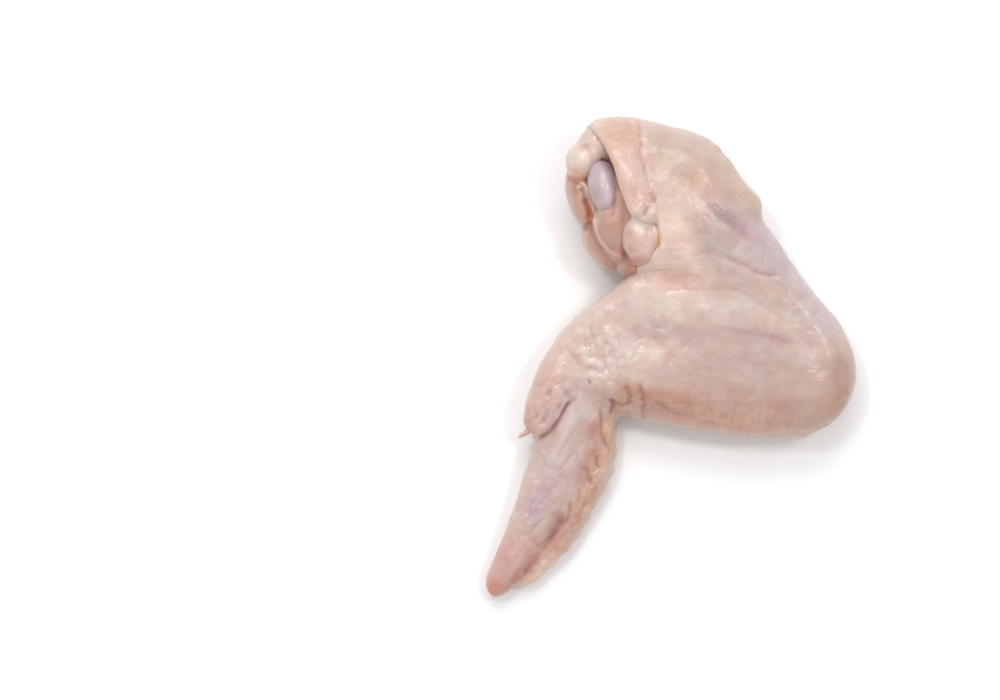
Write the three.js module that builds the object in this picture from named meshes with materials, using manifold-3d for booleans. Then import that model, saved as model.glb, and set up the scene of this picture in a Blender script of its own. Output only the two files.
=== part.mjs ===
// A whole raw chicken wing in one skin: upper arm, forearm and tip, lying on a board with the shoulder cut
// to the left. The upper arm is built as it is cut: a tube of skin, the meat inside it, and the bone inside
// that, with the bone's knob and the ends of the muscles showing at the open end.
// Millimetres, +Z up. Every limb is a soft tube whose oval section changes along a curved spine.
import * as THREE from "three";
import { ParametricGeometry } from "three/addons/geometries/ParametricGeometry.js";
import { mergeVertices } from "three/addons/utils/BufferGeometryUtils.js";
import Module from "manifold-3d";

const wasm = await Module();
wasm.setup();

// Driving dimensions
const SKIN = 2.6; // skin and fat round the upper arm's meat
const GAP = 0.3; // clearance between pieces that touch
const FOLLICLE = 5; // spacing of the flight feathers' follicles along the trailing edge
const BOARD = [400, 400, 40]; // the slab that the wing lies on, which flattens its underside

// How finely the surfaces are divided
const FACET = 4.4; // longest side of a facet on the large limbs
const FINE_FACET = 3; // and on the small ones
const MEAT_FACET = 7; // and on the meat inside the skin
const BONE_FACET = 3.5;
const CLAW_FACET = 0.8;
const END_ROWS = 4; // rows added to a limb for its rounded ends
const CROWDING = 2 / 3; // how much a limb's rows crowd towards its ends, where 0 is evenly spaced
const LOBE_SLICES = 12;
const FOLLICLE_SLICES = 8;
const ROWS_PER_SLICE = 0.6; // on a lobe, from pole to pole
const BAND_FACETS = [10, 22]; // round the folded band's section, and along it
const WELD = 1e-4; // points closer than this are one point

// Softening moves every point towards the mean of its neighbours by the first share, then away from it by
// the second, this many times over. Creases fill, and the limbs keep their girth.
const SOFTENING = { rounds: 4, shares: [0.6, -0.5] };

// Stations along each limb, from the shoulder outwards. at: the spine's point. side: half widths to the
// left and right of someone walking along the spine. rise: half heights above and below it.
// ends: lengths of the two rounded ends, which lie beyond the first and last stations.
// square: how square the section is, where 2 is an ellipse.
const upperArm = {
  stations: [
    { at: [-14, 47, 16], side: [22.8, 21.5], rise: [16.5, 17] },
    { at: [4, 42, 16], side: [21, 20], rise: [17, 17] },
    { at: [17, 32, 14.5], side: [13, 16], rise: [15, 15.5] },
    { at: [30, 18, 12.5], side: [9.6, 13], rise: [11.5, 13.5] },
    { at: [41, 5.5, 11], side: [9.2, 11], rise: [10.5, 12] },
  ],
  ends: [10.5, 9],
};
const outerMuscle = {
  stations: [
    { at: [-14, 57.5, 17], side: [12.6, 11], rise: [14, 14] },
    { at: [-4, 55.3, 17], side: [12.4, 11], rise: [14.3, 14] },
    { at: [6, 52, 17], side: [11.8, 11], rise: [14.5, 14] },
    { at: [19.2, 43.8, 15.5], side: [8.2, 9], rise: [12, 12] },
  ],
  ends: [6, 7.4],
};
const web = {
  stations: [
    { at: [36, 6, 11.5], side: [12, 9], rise: [10.4, 9] },
    { at: [17, 18, 12.5], side: [18, 16], rise: [10, 11] },
    { at: [-1, 21, 12], side: [19, 8.5], rise: [9.6, 10.5] },
    { at: [-17, 13.2, 10], side: [14, 5.4], rise: [9, 8.5] },
    { at: [-28.5, 4, 9.4], side: [9, 5], rise: [7.2, 8] },
  ],
  ends: [5, 5],
  square: 3.4,
};
const forearm = {
  stations: [
    { at: [37.5, -3.2, 11], side: [19, 16.5], rise: [11, 12] },
    { at: [22, -4.5, 10.5], side: [18, 21], rise: [11, 11.5] },
    { at: [2, -3.5, 10], side: [16.4, 21], rise: [10.5, 11] },
    { at: [-13, -2.5, 9], side: [14, 16], rise: [9.5, 10] },
    { at: [-27, -2, 8], side: [11, 10.5], rise: [8, 9] },
  ],
  ends: [16.2, 8],
  square: 2.4,
};
const finger = {
  stations: [
    { at: [-24, -8, 8.5], side: [9.5, 11], rise: [7, 9] },
    { at: [-29.8, -24, 7.5], side: [9.8, 9.6], rise: [6.2, 8.5] },
    { at: [-34.4, -37, 6.8], side: [9, 8.9], rise: [5.6, 7.8] },
    { at: [-40.2, -50, 6], side: [7.6, 7.2], rise: [4.8, 7] },
    { at: [-47, -61, 4.8], side: [4.8, 5], rise: [3.6, 5.6] },
  ],
  ends: [6, 10],
};
const fingerEdge = {
  stations: [
    { at: [-19.5, -16, 7.6], side: [3.6, 6], rise: [4.6, 8] },
    { at: [-20.4, -30, 6], side: [4.2, 6], rise: [4.6, 7] },
    { at: [-25.8, -41, 5.4], side: [4.4, 6], rise: [4.2, 6.4] },
    { at: [-32.8, -51.5, 4.6], side: [5, 6], rise: [3.6, 5.6] },
    { at: [-42.2, -63, 3.6], side: [3.2, 5], rise: [2.6, 4.4] },
  ],
  ends: [3.5, 4],
};
const thumb = {
  stations: [
    { at: [-27, 4, 10], side: [7, 6.2], rise: [6.2, 6] },
    { at: [-32, -4.5, 11], side: [7, 6.6], rise: [5.6, 6] },
    { at: [-35.4, -12.6, 11], side: [6.2, 6.6], rise: [4.8, 5] },
    { at: [-37.4, -18.4, 10.2], side: [4.8, 5.4], rise: [4, 4] },
  ],
  ends: [5, 5],
};
const claw = {
  stations: [
    { at: [-40.6, -20.4, 10], side: [1.1, 1.1], rise: [1, 1] },
    { at: [-42.4, -22, 9.8], side: [0.8, 0.8], rise: [0.8, 0.8] },
    { at: [-43.8, -23, 9.4], side: [0.4, 0.4], rise: [0.4, 0.4] },
  ],
  ends: [0.8, 0.6],
};
const shaft = {
  stations: [
    { at: [-18, 48, 20], side: [4.2, 4.6], rise: [4.5, 4.5] },
    { at: [-8, 44, 15], side: [3.6, 3.6], rise: [3.6, 3.6] },
    { at: [4, 36, 13.5], side: [3.1, 3.1], rise: [3.1, 3.1] },
    { at: [20, 23, 13], side: [3.3, 3.3], rise: [3.3, 3.3] },
    { at: [32, 13.5, 11.5], side: [4.4, 4.8], rise: [4.4, 4.4] },
  ],
  ends: [3, 3],
};
// The humerus ends in a knob. The muscles end in lobes round it, and one of them is white with fat.
// at: the middle. size: half sizes. turn: degrees about the vertical.
const knob = { at: [-19.7, 49, 22.7], size: [4.6, 8, 6.3], turn: 9 };
const lobes = [
  { at: [-25.6, 56.8, 18.5], size: [5.6, 6.2, 7.5], turn: -20 },
  { at: [-20.8, 61, 17.8], size: [6.8, 8.8, 8.6], turn: -42 },
  { at: [-25.2, 46, 13.2], size: [5.2, 11.2, 8.8], turn: 18 },
  { at: [-19.3, 32, 12.5], size: [5.2, 8.8, 8.5], turn: 40 },
  { at: [-17, 38.6, 17.6], size: [5.8, 12.4, 8.8], turn: 14 },
  { at: [-11.6, 28, 13.8], size: [5.4, 5.6, 8.4], turn: 30 },
];
const fatLobe = { at: [-9.2, 35.2, 23.2], size: [5.3, 7.9, 7.4], turn: 6 };
// Where the skin was cut: an oval across the upper arm, with half sizes reach.
// turn and tilt: degrees by which the cut is turned about the vertical and leans back.
// web: how far from the middle the cut stops, where the web begins. corner: how far from that end the cut
// starts to run aslant towards the shoulder.
const opening = { at: [-10, 47, 16.6], turn: 11, tilt: 15, reach: [21.6, 15.2], web: 23.6, corner: 8 };
// A band of the cut skin is folded back over the meat, part of the way round the opening.
// from, to: degrees round it from the side away from the tip, over the top. wide: half width, which
// changes by spread. thick: half thickness. overlap: how far the band reaches over the skin.
// bluntness: how suddenly the band's two ends close.
const fold = { from: -70, to: 118, wide: 4.9, spread: 1, thick: 2.2, overlap: 1, bluntness: 6 };
// Follicles stand out of the trailing edge as small lobes. shape: the limb they are on. from, to:
// their first and last stations. below: how far under the spine. sunk: how far their middles lie inside
// the limb's side. size: half sizes.
const follicleRows = [
  { shape: forearm, from: 0.1, to: 3.4, below: 1.5, sunk: 0.9, size: [2.3, 1.9, 4.5] },
  { shape: fingerEdge, from: 0.4, to: 3.9, below: 0.6, sunk: 0.8, size: [2.2, 1.7, 2.8] },
];

const colour = {
  skin: { color: 0xe6c6b8, roughness: 0.42 },
  meat: { color: 0xcf9c8a, roughness: 0.35 },
  bone: { color: 0xcdbdc6, roughness: 0.22 },
  fat: { color: 0xe4cfc4, roughness: 0.3 },
  claw: { color: 0xd8ccb8, roughness: 0.4 },
};

// A closed geometry as a manifold solid: coincident points welded, collapsed facets dropped.
function solidOf(geometry) {
  const bare = new THREE.BufferGeometry();
  bare.setAttribute("position", geometry.getAttribute("position"));
  bare.setIndex(geometry.index);
  const welded = mergeVertices(bare, WELD);
  const index = welded.index.array;
  const kept = [];
  for (let i = 0; i < index.length; i += 3) {
    const [a, b, c] = [index[i], index[i + 1], index[i + 2]];
    if (a !== b && b !== c && c !== a) kept.push(a, b, c);
  }
  return new wasm.Manifold(
    new wasm.Mesh({
      numProp: 3,
      vertProperties: welded.attributes.position.array,
      triVerts: new Uint32Array(kept),
    }),
  );
}

function geometryOf(solid) {
  const mesh = solid.getMesh();
  const geometry = new THREE.BufferGeometry();
  geometry.setAttribute("position", new THREE.BufferAttribute(mesh.vertProperties, 3));
  geometry.setIndex(new THREE.BufferAttribute(mesh.triVerts, 1));
  geometry.computeVertexNormals();
  return geometry;
}

// Moves every point by a share of the way to the mean of its neighbours.
function relaxed(points, triVerts, share) {
  const sum = new Float32Array(points.length);
  const degree = new Float32Array(points.length / 3);
  triVerts.forEach((from, i) => {
    const to = triVerts[i % 3 === 2 ? i - 2 : i + 1];
    for (let axis = 0; axis < 3; axis++) sum[3 * from + axis] += points[3 * to + axis];
    degree[from] += 1;
  });
  return points.map((value, i) => value + share * (sum[i] / degree[Math.floor(i / 3)] - value));
}

// The same solid with its creases softened.
function softened(solid) {
  const { vertProperties, triVerts } = solid.getMesh();
  let points = vertProperties;
  for (let round = 0; round < SOFTENING.rounds; round++) {
    for (const share of SOFTENING.shares) points = relaxed(points, triVerts, share);
  }
  return new wasm.Manifold(new wasm.Mesh({ numProp: 3, vertProperties: points, triVerts }));
}

// The same solid with every point moved outwards along its normal.
function inflated(solid, distance) {
  const geometry = geometryOf(solid);
  const { position, normal } = geometry.attributes;
  const points = position.array.map((value, i) => value + distance * normal.array[i]);
  const triVerts = Uint32Array.from(geometry.index.array);
  return new wasm.Manifold(new wasm.Mesh({ numProp: 3, vertProperties: points, triVerts }));
}

const joined = (solids) => solids.reduce((all, next) => all.add(next));
const without = (solid, tools) => tools.reduce((left, tool) => left.subtract(tool), solid);
const radians = (degrees) => THREE.MathUtils.degToRad(degrees);

// The curves that a limb follows: its spine, half widths and half heights, all by station.
function curvesOf({ stations }) {
  const pairs = (name) => new THREE.SplineCurve(stations.map((s) => new THREE.Vector2(...s[name])));
  const points = stations.map((s) => new THREE.Vector3(...s.at));
  const spine = new THREE.CatmullRomCurve3(points, false, "catmullrom", 0.5);
  return { spine, sides: pairs("side"), rises: pairs("rise") };
}

// The spine's point at t from 0 to 1, with its directions: along it, to its left, and up.
function frameAt(spine, t) {
  const along = spine.getTangent(t);
  const left = new THREE.Vector3(0, 0, 1).cross(along).normalize();
  return { point: spine.getPoint(t), along, left, up: along.clone().cross(left) };
}

// A soft tube round a spine. grow makes it fatter all over, or thinner if it is negative.
function limb(shape, grow = 0, facet = FACET) {
  const { spine, sides, rises } = curvesOf(shape);
  const [startEnd, farEnd] = shape.ends.map((length) => length + grow);
  const middle = spine.getLength();
  const total = startEnd + middle + farEnd;
  const widest = Math.max(...shape.stations.map((s) => s.side[0] + s.side[1])) / 2;
  const slices = 2 * Math.ceil((Math.PI * widest) / facet);
  const stacks = Math.ceil(total / facet) + END_ROWS;
  const rounding = 2 / (shape.square ?? 2);
  const squared = (share) => Math.sign(share) * Math.abs(share) ** rounding;

  const surface = (u, v, target) => {
    // The section shrinks along a quarter ellipse towards both ends.
    const eased = v - (CROWDING * Math.sin(2 * Math.PI * v)) / (2 * Math.PI);
    const distance = eased * total - startEnd;
    const t = THREE.MathUtils.clamp(distance / middle, 0, 1);
    const beyond = Math.max(-distance / startEnd, (distance - middle) / farEnd, 0);
    const shrink = Math.sqrt(Math.max(0, 1 - beyond ** 2));
    const { point, along, left, up } = frameAt(spine, t);
    const half = sides.getPoint(t);
    const rise = rises.getPoint(t);
    const across = squared(Math.cos(2 * Math.PI * u));
    const above = squared(Math.sin(2 * Math.PI * u));
    const width = (across > 0 ? half.x : half.y) + grow;
    const height = (above > 0 ? rise.x : rise.y) + grow;
    target.copy(point).addScaledVector(along, distance - t * middle);
    target.addScaledVector(left, shrink * width * across);
    target.addScaledVector(up, shrink * height * above);
  };
  return solidOf(new ParametricGeometry(surface, slices, stacks));
}

// A ball stretched to half sizes and turned about the vertical.
function lobe({ at, size, turn }, grow = 0, slices = LOBE_SLICES) {
  const ball = new THREE.SphereGeometry(1, slices, Math.ceil(ROWS_PER_SLICE * slices));
  ball.scale(...size.map((half) => half + grow));
  ball.rotateZ(radians(turn));
  ball.translate(...at);
  return solidOf(ball);
}

// Small lobes a follicle apart along a limb's left side, which is the wing's trailing edge.
function follicleRow({ shape, from, to, below, sunk, size }) {
  const { spine, sides } = curvesOf(shape);
  const last = shape.stations.length - 1;
  const steps = Math.round((spine.getLength() * (to - from)) / last / FOLLICLE);
  const bumps = [];
  for (let i = 0; i <= steps; i++) {
    const t = (from + ((to - from) * i) / steps) / last;
    const { point, along, left, up } = frameAt(spine, t);
    const at = point.addScaledVector(left, sides.getPoint(t).x - sunk).addScaledVector(up, -below);
    const turn = THREE.MathUtils.radToDeg(Math.atan2(along.y, along.x));
    bumps.push(lobe({ at: at.toArray(), size, turn }, 0, FOLLICLE_SLICES));
  }
  return joined(bumps);
}

function setInOpening(geometry) {
  geometry.rotateY(radians(opening.tilt));
  geometry.rotateZ(radians(opening.turn));
  geometry.translate(...opening.at);
  return solidOf(geometry);
}

// The folded band: a flat roll round part of the opening, tapering at both ends.
function foldedBand() {
  const { from, to, wide, spread, thick, overlap, bluntness } = fold;
  const surface = (u, v, target) => {
    const round = radians(THREE.MathUtils.lerp(from, to, v));
    const section = 2 * Math.PI * u;
    const taper = Math.sqrt(1 - Math.abs(2 * v - 1) ** bluntness);
    const width = taper * (wide + spread * Math.cos(round));
    const [y, z] = opening.reach.map((reach) => reach + taper * thick * Math.cos(section));
    target.set(overlap - width * (1 + Math.sin(section)), y * Math.cos(round), z * Math.sin(round));
  };
  return setInOpening(new ParametricGeometry(surface, ...BAND_FACETS));
}

// Everything on the shoulder's side of the opening, as far over as the web.
function cutAway() {
  const [depth, width, height] = [60, 80, 100];
  const outline = new THREE.Shape();
  outline.moveTo(0, width);
  outline.lineTo(-depth, width);
  outline.lineTo(-depth, -opening.web);
  outline.lineTo(-opening.corner, -opening.web);
  outline.lineTo(0, opening.corner - opening.web);
  const block = new THREE.ExtrudeGeometry(outline, { depth: height, bevelEnabled: false });
  block.translate(0, 0, -height / 2);
  return setInOpening(block);
}

function board() {
  const slab = new THREE.BoxGeometry(...BOARD);
  slab.translate(0, 0, -BOARD[2] / 2);
  return solidOf(slab);
}

const armShape = (grow, facet) => limb(upperArm, grow, facet).add(limb(outerMuscle, grow, facet));
const boneShape = (grow) => limb(shaft, grow, BONE_FACET).add(lobe(knob, grow));
const clawShape = (grow) => limb(claw, grow, CLAW_FACET);
// The meat fills the upper arm's skin, and its lobes stand out of the opening.
const meatShape = softened(joined([armShape(-SKIN, MEAT_FACET), ...lobes.map((end) => lobe(end))]));

function skinSolid() {
  const limbs = softened(
    joined([
      armShape(0, FACET),
      limb(web),
      limb(forearm),
      limb(finger, 0, FINE_FACET),
      limb(fingerEdge, 0, FINE_FACET),
      limb(thumb, 0, FINE_FACET),
    ]),
  );
  const edged = softened(joined([limbs, ...follicleRows.map(follicleRow)]));
  const room = [inflated(meatShape, GAP), boneShape(GAP), lobe(fatLobe, GAP), clawShape(GAP), board()];
  return without(edged.subtract(cutAway()).add(foldedBand()), room);
}

const meatSolid = () => without(meatShape, [boneShape(GAP), lobe(fatLobe, GAP), board()]);

const pieces = {
  skin: [skinSolid(), colour.skin],
  meat: [meatSolid(), colour.meat],
  humerus: [boneShape(0), colour.bone],
  fat_lobe: [lobe(fatLobe), colour.fat],
  claw: [clawShape(0), colour.claw],
};

const wing = new THREE.Group();
for (const [name, [solid, look]] of Object.entries(pieces)) {
  const mesh = new THREE.Mesh(geometryOf(solid), new THREE.MeshStandardMaterial({ ...look, metalness: 0 }));
  mesh.name = name;
  wing.add(mesh);
}

// The origin is under the middle of the wing, on the board.
const box = new THREE.Box3().setFromObject(wing);
const middle = box.getCenter(new THREE.Vector3());
for (const mesh of wing.children) mesh.position.set(-middle.x, -middle.y, -box.min.z);

export default wing;
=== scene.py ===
"""A raw chicken wing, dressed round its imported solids: skin, meat, the humerus's knob, fat and claw.

The forms are worked out in millimetres in the drawing's frame, where x runs towards the elbow, y towards
the shoulder and z up from the board, and are moved into the frame of the solids at the end. Soft forms
are joined into one surface, relaxed, and then given their folds, wrinkles and gooseflesh.
"""

import bpy
import numpy as np
from mathutils import Matrix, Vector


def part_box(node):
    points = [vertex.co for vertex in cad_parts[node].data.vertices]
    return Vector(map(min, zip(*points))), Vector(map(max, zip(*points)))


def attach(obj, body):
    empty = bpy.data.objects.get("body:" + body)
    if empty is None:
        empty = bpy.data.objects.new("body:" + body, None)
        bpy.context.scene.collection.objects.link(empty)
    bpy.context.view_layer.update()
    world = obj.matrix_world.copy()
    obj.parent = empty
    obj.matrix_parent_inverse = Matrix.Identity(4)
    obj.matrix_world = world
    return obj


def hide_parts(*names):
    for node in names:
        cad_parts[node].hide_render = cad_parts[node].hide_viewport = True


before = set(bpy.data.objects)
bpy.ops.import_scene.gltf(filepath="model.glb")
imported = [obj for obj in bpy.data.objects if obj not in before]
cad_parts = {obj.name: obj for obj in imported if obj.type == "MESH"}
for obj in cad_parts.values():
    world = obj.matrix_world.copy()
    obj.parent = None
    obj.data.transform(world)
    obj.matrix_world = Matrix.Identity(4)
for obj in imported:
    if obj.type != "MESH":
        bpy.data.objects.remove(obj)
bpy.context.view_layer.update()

METRES = 0.001  # one millimetre
PIXEL = 0.29  # millimetres in a pixel of the photograph
PHOTO_ORIGIN = np.array([671.0, 357.5])  # the pixel over the drawing's origin
PHOTO_CENTRE = (500, 350)
PHOTO_WIDTH = 1000

ROUGH_VOXEL = 0.9  # edge of the facets of what is still to be cut
SKIN_VOXEL = 0.54  # and of the finished skin, meat and bone, and fat
MEAT_VOXEL = 0.5
FAT_VOXEL = 0.4
SKIN = 2.6  # thickness of skin and fat round the meat
GAP = 0.05  # clearance between skin and meat
DRAWN_IN = 0.5  # how far the solids' softened lobes lie inside their true ovals
SPINE_STEPS = 400  # places at which a spine is measured

# Stations along each limb, from the shoulder outwards. Each row: the spine's point, the half widths to
# the left and right of someone walking along the spine, and the half heights above and below it.
# ends: lengths of the two rounded ends. square: how square the section is, where 2 is an ellipse.
UPPER_ARM = {
    "rows": [
        (-14, 47, 16, 22.8, 21.5, 16.5, 17),
        (4, 42, 16, 21, 20, 17, 17),
        (17, 32, 14.5, 13, 16, 15, 15.5),
        (30, 18, 12.5, 9.6, 13, 11.5, 13.5),
        (41, 5.5, 11, 9.2, 11, 10.5, 12),
    ],
    "ends": (10.5, 9),
}
OUTER_MUSCLE = {
    "rows": [
        (-14, 57.5, 17, 12.6, 11, 14, 14),
        (-4, 55.3, 17, 12.4, 11, 14.3, 14),
        (6, 52, 17, 11.8, 11, 14.5, 14),
        (19.2, 43.8, 15.5, 8.2, 9, 12, 12),
    ],
    "ends": (6, 7.4),
}
WEB = {
    "rows": [
        (36, 6, 11.5, 12, 9, 10.4, 9),
        (17, 18, 12.5, 18, 16, 10, 11),
        (-1, 21, 12, 19, 8.5, 9.6, 10.5),
        (-17, 13.2, 10, 14, 5.4, 9, 8.5),
        (-28.5, 4, 9.4, 9, 5, 7.2, 8),
    ],
    "ends": (5, 5),
    "square": 3.4,
}
FOREARM = {
    "rows": [
        (37.5, -3.2, 11, 19, 16.5, 11, 12),
        (22, -4.5, 10.5, 18, 21, 11, 11.5),
        (2, -3.5, 10, 16.4, 21, 10.5, 11),
        (-13, -2.5, 9, 14, 16, 9.5, 10),
        (-27, -2, 8, 11, 10.5, 8, 9),
    ],
    "ends": (16.2, 8),
    "square": 2.4,
}
FINGER = {
    "rows": [
        (-24, -8, 8.5, 9.5, 11, 7, 9),
        (-29.8, -24, 7.5, 9.8, 9.6, 6.2, 8.5),
        (-34.4, -37, 6.8, 9, 8.9, 5.6, 7.8),
        (-40.2, -50, 6, 7.6, 7.2, 4.8, 7),
        (-47, -61, 4.8, 4.8, 5, 3.6, 5.6),
    ],
    "ends": (6, 10),
}
FINGER_EDGE = {
    "rows": [
        (-19.5, -16, 7.6, 3.6, 6, 4.6, 8),
        (-20.4, -30, 6, 4.2, 6, 4.6, 7),
        (-25.8, -41, 5.4, 4.4, 6, 4.2, 6.4),
        (-32.8, -51.5, 4.6, 5, 6, 3.6, 5.6),
        (-42.2, -63, 3.6, 3.2, 5, 2.6, 4.4),
    ],
    "ends": (3.5, 4),
}
THUMB = {
    "rows": [
        (-27, 4, 10, 7, 6.2, 6.2, 6),
        (-32, -4.5, 11, 7, 6.6, 5.6, 6),
        (-35.4, -12.6, 11, 6.2, 6.6, 4.8, 5),
        (-37.4, -18.4, 10.2, 4.8, 5.4, 4, 4),
    ],
    "ends": (5, 5),
}
CLAW = {
    "rows": [
        (-40.6, -20.4, 10, 1.1, 1.1, 1, 1),
        (-42.4, -22, 9.8, 0.8, 0.8, 0.8, 0.8),
        (-43.8, -23, 9.4, 0.4, 0.4, 0.4, 0.4),
    ],
    "ends": (0.8, 0.6),
}
SHAFT = {
    "rows": [
        (-18, 48, 20, 4.2, 4.6, 4.5, 4.5),
        (-8, 44, 15, 3.6, 3.6, 3.6, 3.6),
        (4, 36, 13.5, 3.1, 3.1, 3.1, 3.1),
        (20, 23, 13, 3.3, 3.3, 3.3, 3.3),
        (32, 13.5, 11.5, 4.4, 4.8, 4.4, 4.4),
    ],
    "ends": (3, 3),
}
# Lobes: middle, half sizes, and degrees about the vertical.
KNOB = ((-19.7, 49, 22.7), (4.6, 8, 6.3), 9)
MUSCLE_ENDS = [
    ((-25.6, 56.8, 18.5), (5.6, 6.2, 7.5), -20),
    ((-20.8, 61, 17.8), (6.8, 8.8, 8.6), -42),
    ((-25.2, 46, 13.2), (5.2, 11.2, 8.8), 18),
    ((-19.3, 32, 12.5), (5.2, 8.8, 8.5), 40),
    ((-17, 38.6, 17.6), (5.8, 12.4, 8.8), 14),
    ((-11.6, 28, 13.8), (5.4, 5.6, 8.4), 30),
]
FAT_LOBE = ((-9.2, 35.2, 23.2), (5.3, 7.9, 7.4), 6)
FAT_BULGES = [
    ((-8.2, 40, 26.8), (4.2, 4.2, 5), 0),
    ((-5.4, 35.6, 24.2), (3.2, 6, 6.2), 10),
    ((-9.8, 30.2, 21), (3.2, 4.4, 6), 30),
]
FAT_SWELL = 0.5  # how much the fat swells over its solid, to lie against the skin
# The cut across the upper arm: middle, turn and tilt in degrees, half sizes, where the web begins, and how
# far from that end the cut starts to run aslant.
OPENING = {"at": (-10, 47, 16.6), "turn": 11, "tilt": 15, "reach": (21.6, 15.2), "web": 23.6, "corner": 8}
CUTTER = {"far": 60, "aside": 80, "high": 50}  # how far the cut reaches past the wing
# The band of skin folded back. from, to: its ends, in degrees round the opening from its far side up over
# the top. wide, spread: its half width and how much it widens towards the far side. overlap: how far it
# reaches back over the skin. bluntness: of its ends.
FOLD = {"from": -70, "to": 116, "wide": 4.9, "spread": 1, "thick": 2.2, "overlap": 1, "bluntness": 12}
FOLLICLE = 5  # spacing along the trailing edge
FOLLICLE_ROWS = [
    {"limb": FOREARM, "from": 0.1, "to": 3.4, "below": 1.5, "sunk": 0.9, "size": (2.3, 1.9, 4.5)},
    {"limb": FINGER_EDGE, "from": 0.4, "to": 3.9, "below": 0.6, "sunk": 0.8, "size": (2.2, 1.7, 2.8)},
]


# Curves, limbs and lobes


def spline(stations, share):
    """Values at shares from 0 to 1 along rows of stations: Catmull-Rom, a cubic between each two rows whose
    slope at a row is half the difference of its neighbours, with the rows carried on past both ends."""
    rows = np.asarray(stations, float)
    rows = np.vstack([2 * rows[0] - rows[1], rows, 2 * rows[-1] - rows[-2]])
    place = np.clip(share, 0, 1) * (len(rows) - 3)
    start = np.minimum(place.astype(int), len(rows) - 4)
    t = (place - start)[:, None]
    p0, p1, p2, p3 = (rows[start + step] for step in range(4))
    slope = p2 - p0
    bend = 2 * p0 - 5 * p1 + 4 * p2 - p3
    twist = 3 * p1 - p0 - 3 * p2 + p3
    return 0.5 * (2 * p1 + slope * t + bend * t**2 + twist * t**3)


def spine_length(stations):
    """The length of a limb's spine, as short straight steps along it."""
    spine = spline(stations[:, :3], np.linspace(0, 1, SPINE_STEPS))
    return np.linalg.norm(np.diff(spine, axis=0), axis=1).sum()


def directions(limb, share):
    """Unit vectors along a limb's spine, to its left, and up from it, where left is level."""
    step = 1e-4
    spine = np.array(limb["rows"], float)[:, :3]
    ahead = spline(spine, np.clip(share + step, 0, 1)) - spline(spine, np.clip(share - step, 0, 1))
    along = ahead / np.linalg.norm(ahead, axis=1, keepdims=True)
    left = np.cross([0, 0, 1], along)
    left /= np.linalg.norm(left, axis=1, keepdims=True)
    return along, left, np.cross(along, left)


def closed_rings(rings):
    """Rings of points, from one pole to the other, as a closed surface: points and triangles. The first and
    the last ring are each a single point repeated, and only one of it is kept."""
    rows, around = rings.shape[:2]
    points = np.vstack([rings[0, :1], rings[1:-1].reshape(-1, 3), rings[-1, :1]])
    index = 1 + np.arange((rows - 2) * around).reshape(rows - 2, around)
    here, beside = index, np.roll(index, -1, axis=1)
    quads = np.stack([here[:-1], beside[:-1], beside[1:], here[1:]], axis=-1).reshape(-1, 4)
    first = np.stack([np.zeros(around, int), beside[0], here[0]], axis=-1)
    last = np.stack([np.full(around, len(points) - 1), here[-1], beside[-1]], axis=-1)
    return points, np.vstack([quads[:, [0, 1, 2]], quads[:, [0, 2, 3]], first, last])


def limb_surface(limb, grow=0.0, rows=120, around=72):
    """A soft tube along a spine. The section is a superellipse with its own half width to each side and half
    height above and below, and it shrinks along a quarter ellipse towards both ends."""
    stations = np.array(limb["rows"], float)
    start_end, far_end = (length + grow for length in limb["ends"])
    middle = spine_length(stations)
    v = np.linspace(0, 1, rows)
    distance = (v - np.sin(2 * np.pi * v) / (3 * np.pi)) * (start_end + middle + far_end) - start_end
    share = np.clip(distance / middle, 0, 1)
    beyond = np.maximum(np.maximum(-distance / start_end, (distance - middle) / far_end), 0)
    shrink = np.sqrt(np.maximum(0, 1 - beyond**2))[:, None]
    values = spline(stations, share)
    along, left, up = directions(limb, share)
    turn = np.linspace(0, 2 * np.pi, around, endpoint=False)
    rounding = 2 / limb.get("square", 2)
    across, above = (np.sign(c) * np.abs(c) ** rounding for c in (np.cos(turn), np.sin(turn)))
    width = np.where(across > 0, values[:, 3:4], values[:, 4:5]) + grow
    height = np.where(above > 0, values[:, 5:6], values[:, 6:7]) + grow
    centre = values[:, :3] + along * (distance - share * middle)[:, None]
    rings = centre[:, None] + left[:, None] * (shrink * width * across)[..., None]
    return closed_rings(rings + up[:, None] * (shrink * height * above)[..., None])


def turned(points, degrees, axis):
    """Points turned about the x, y or z axis, by the right-hand rule."""
    angle = np.radians(degrees)
    first, second = ((1, 2), (2, 0), (0, 1))["xyz".index(axis)]
    out = np.array(points, float)
    out[..., first] = np.cos(angle) * points[..., first] - np.sin(angle) * points[..., second]
    out[..., second] = np.sin(angle) * points[..., first] + np.cos(angle) * points[..., second]
    return out


def lobe(at, size, turn, grow=0.0, rows=40, around=56):
    """A stretched ball: circles of latitude scaled by the half sizes and turned about the vertical."""
    polar = np.linspace(0, np.pi, rows)[:, None]
    round_about = np.linspace(0, 2 * np.pi, around, endpoint=False)[None]
    level = np.sin(polar)
    ball = np.broadcast_arrays(level * np.cos(round_about), level * np.sin(round_about), np.cos(polar))
    points, triangles = closed_rings(np.stack(ball, axis=-1) * (np.array(size) + grow))
    return turned(points, turn, "z") + at, triangles[:, ::-1]


def follicle_lobes(row):
    """Small lobes a follicle apart along a limb's left side, turned with its spine."""
    stations = np.array(row["limb"]["rows"], float)
    last = len(stations) - 1
    length = spine_length(stations)
    steps = round(length * (row["to"] - row["from"]) / last / FOLLICLE)
    share = np.linspace(row["from"], row["to"], steps + 1) / last
    values = spline(stations, share)
    along, left, up = directions(row["limb"], share)
    middles = values[:, :3] + left * (values[:, 3:4] - row["sunk"]) - up * row["below"]
    turns = np.degrees(np.arctan2(along[:, 1], along[:, 0]))
    return [lobe(at, row["size"], turn, rows=14, around=18) for at, turn in zip(middles, turns)]


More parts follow.
